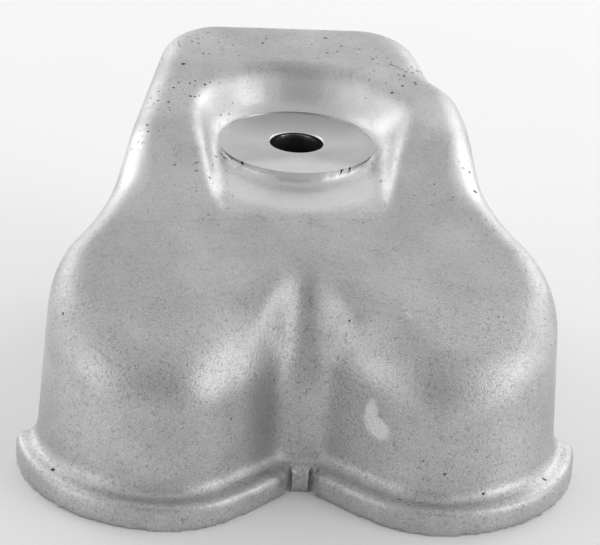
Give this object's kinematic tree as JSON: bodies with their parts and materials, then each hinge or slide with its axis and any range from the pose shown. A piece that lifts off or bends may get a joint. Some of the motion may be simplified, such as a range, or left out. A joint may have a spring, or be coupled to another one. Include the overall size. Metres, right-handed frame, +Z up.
{
  "type": "die cast housing",
  "caption": "Thin-walled die-cast aluminium housing: a two-lobed, drafted cover with a recessed bolt seat on top, a sloping front face and a flange round its open underside",
  "frame": {"origin": "middle of the footprint on the sealing plane, so the cover stands at z = 0", "axes": "+Z up and along the bolt hole, -Y towards the low front with the two lobes, +X to the right seen from the front"},
  "size_m": [0.1302, 0.1398, 0.072],
  "materials": {
    "cast_aluminium": "bare die-cast aluminium, lightly blasted, matt with a soft sheen"
  },
  "bodies": {
    "root": {"rocker_cover": "cast_aluminium"}
  },
  "joints": []
}
